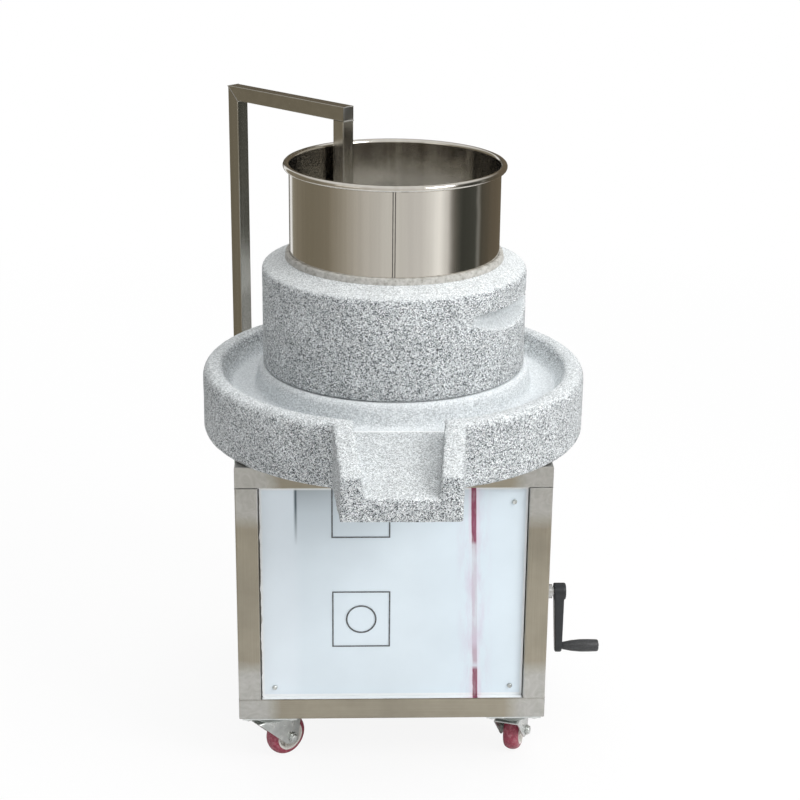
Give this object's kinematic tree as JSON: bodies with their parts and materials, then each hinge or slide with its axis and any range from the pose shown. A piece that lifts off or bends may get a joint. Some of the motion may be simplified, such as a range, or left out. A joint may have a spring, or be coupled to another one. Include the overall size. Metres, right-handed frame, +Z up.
{
  "type": "electric stone grinder",
  "caption": "Electric stone mill: granite stones with a trough and spout under a steel hopper, on a tube cabinet with casters, a side crank and a fixed hopper arm.",
  "frame": {"origin": "centre of the bounding box, on the floor under the casters", "axes": "+Z up, -Y towards the spout, +X towards the crank"},
  "size_m": [0.7074, 0.7798, 1.101],
  "materials": {
    "granite": "matte",
    "stainless_tube": "satin",
    "polished_stainless": "polished",
    "panel_film": "satin",
    "machined_steel": "satin",
    "cast_iron": "matte",
    "bronze": "satin",
    "gearbox_paint": "satin",
    "motor_paint": "satin",
    "black_plastic": "satin",
    "grey_plastic": "satin",
    "green_button": "satin",
    "red_button": "satin",
    "zinc_plate": "satin",
    "red_tread": "satin"
  },
  "bodies": {
    "cabinet": {"post_front_left": "stainless_tube", "post_front_right": "stainless_tube", "post_rear_left": "stainless_tube", "post_rear_right": "stainless_tube", "top_rail_front": "stainless_tube", "top_rail_rear": "stainless_tube", "top_rail_left": "stainless_tube", "top_rail_right": "stainless_tube", "bottom_rail_front": "stainless_tube", "bottom_rail_rear": "stainless_tube", "bottom_rail_left": "stainless_tube", "bottom_rail_right": "stainless_tube", "stone_beam_front": "stainless_tube", "stone_beam_rear": "stainless_tube", "lift_beam": "stainless_tube", "floor_sheet": "stainless_tube", "front_panel": "panel_film", "rear_panel": "panel_film", "left_panel": "panel_film", "right_panel": "panel_film", "stone_base": "granite", "shaft_bush": "bronze", "gearbox_plate": "stainless_tube", "gearbox_housing": "gearbox_paint", "gearbox_cover": "gearbox_paint", "motor_body": "motor_paint", "motor_fan_cover": "motor_paint", "lift_housing": "cast_iron", "crank_bearing": "machined_steel", "arm_post": "polished_stainless", "arm_beam": "polished_stainless", "arm_drop": "polished_stainless", "control_box": "grey_plastic", "cable_gland": "black_plastic", "caster_plate_front_left": "zinc_plate", "caster_plate_front_right": "zinc_plate", "caster_plate_rear_left": "zinc_plate", "caster_plate_rear_right": "zinc_plate"},
    "lift": {"lift_screw": "machined_steel", "thrust_bearing": "machined_steel"},
    "mill": {"upper_stone": "granite", "hopper": "polished_stainless", "drive_cross": "cast_iron", "main_shaft": "machined_steel"},
    "lift_gear": {"lift_gear": "machined_steel"},
    "crank": {"crank_arm": "black_plastic", "crank_shaft": "machined_steel"},
    "crank_grip": {"crank_grip": "black_plastic"},
    "worm_wheel": {"worm_wheel": "bronze"},
    "worm": {"worm_shaft": "machined_steel"},
    "start_button": {"start_button": "green_button"},
    "stop_button": {"stop_button": "red_button"},
    "fork_front_left": {"caster_fork_front_left": "zinc_plate"},
    "wheel_front_left": {"caster_wheel_front_left": "red_tread"},
    "fork_front_right": {"caster_fork_front_right": "zinc_plate"},
    "wheel_front_right": {"caster_wheel_front_right": "red_tread"},
    "fork_rear_left": {"caster_fork_rear_left": "zinc_plate"},
    "wheel_rear_left": {"caster_wheel_rear_left": "red_tread"},
    "fork_rear_right": {"caster_fork_rear_right": "zinc_plate"},
    "wheel_rear_right": {"caster_wheel_rear_right": "red_tread"}
  },
  "joints": [
    {"name": "mill_lift", "type": "slide", "parent": "cabinet", "child": "lift", "axis": [0, 0, 1], "range_m": [0, 0.02]},
    {"name": "stone_turn", "type": "hinge", "parent": "lift", "child": "mill", "pos_m": [-0.02625, 0.0548, 0.686], "axis": [0, 0, 1], "continuous": true},
    {"name": "lift_gear_turn", "type": "hinge", "parent": "cabinet", "child": "lift_gear", "pos_m": [-0.02625, 0.0548, 0.2413], "axis": [0, 0, 1], "range_deg": [-1440, 0]},
    {"name": "crank_turn", "type": "hinge", "parent": "cabinet", "child": "crank", "pos_m": [-0.02625, 0.0548, 0.2413], "axis": [1, 0, 0], "range_deg": [0, 1440]},
    {"name": "grip_spin", "type": "hinge", "parent": "crank", "child": "crank_grip", "pos_m": [-0.02625, 0.0548, 0.1313], "axis": [1, 0, 0], "continuous": true},
    {"name": "worm_wheel_turn", "type": "hinge", "parent": "cabinet", "child": "worm_wheel", "pos_m": [-0.02625, 0.0548, 0.464], "axis": [0, 0, 1], "continuous": true},
    {"name": "worm_turn", "type": "hinge", "parent": "cabinet", "child": "worm", "pos_m": [-0.08125, 0.0548, 0.464], "axis": [0, 1, 0], "continuous": true},
    {"name": "start_button_press", "type": "slide", "parent": "cabinet", "child": "start_button", "axis": [1, 0, 0], "range_m": [0, 0.003], "stiffness_N_per_m": 500},
    {"name": "stop_button_press", "type": "slide", "parent": "cabinet", "child": "stop_button", "axis": [1, 0, 0], "range_m": [0, 0.003], "stiffness_N_per_m": 500},
    {"name": "swivel_front_left", "type": "hinge", "parent": "cabinet", "child": "fork_front_left", "pos_m": [-0.24075, -0.1092, 0.09], "axis": [0, 0, 1], "continuous": true},
    {"name": "roll_front_left", "type": "hinge", "parent": "fork_front_left", "child": "wheel_front_left", "pos_m": [-0.21624, -0.08863, 0.0375], "axis": [-0.6428, 0.766, 0], "continuous": true},
    {"name": "swivel_front_right", "type": "hinge", "parent": "cabinet", "child": "fork_front_right", "pos_m": [0.18025, -0.1092, 0.09], "axis": [0, 0, 1], "continuous": true},
    {"name": "roll_front_right", "type": "hinge", "parent": "fork_front_right", "child": "wheel_front_right", "pos_m": [0.19014, -0.07877, 0.0375], "axis": [-0.9511, 0.309, 0], "continuous": true},
    {"name": "swivel_rear_left", "type": "hinge", "parent": "cabinet", "child": "fork_rear_left", "pos_m": [-0.24075, 0.3118, 0.09], "axis": [0, 0, 1], "continuous": true},
    {"name": "roll_rear_left", "type": "hinge", "parent": "fork_rear_left", "child": "wheel_rear_left", "pos_m": [-0.2591, 0.33801, 0.0375], "axis": [-0.8192, -0.5736, 0], "continuous": true},
    {"name": "swivel_rear_right", "type": "hinge", "parent": "cabinet", "child": "fork_rear_right", "pos_m": [0.18025, 0.3118, 0.09], "axis": [0, 0, 1], "continuous": true},
    {"name": "roll_rear_right", "type": "hinge", "parent": "fork_rear_right", "child": "wheel_rear_right", "pos_m": [0.19625, 0.33951, 0.0375], "axis": [-0.866, 0.5, 0], "continuous": true}
  ],
  "couplings": [
    {"joint": "lift_gear_turn", "follows": "mill_lift", "rad_per_m": -1256.6},
    {"joint": "crank_turn", "follows": "mill_lift", "rad_per_m": 1256.6},
    {"joint": "worm_wheel_turn", "follows": "stone_turn", "ratio": 1},
    {"joint": "worm_turn", "follows": "stone_turn", "ratio": -20}
  ]
}
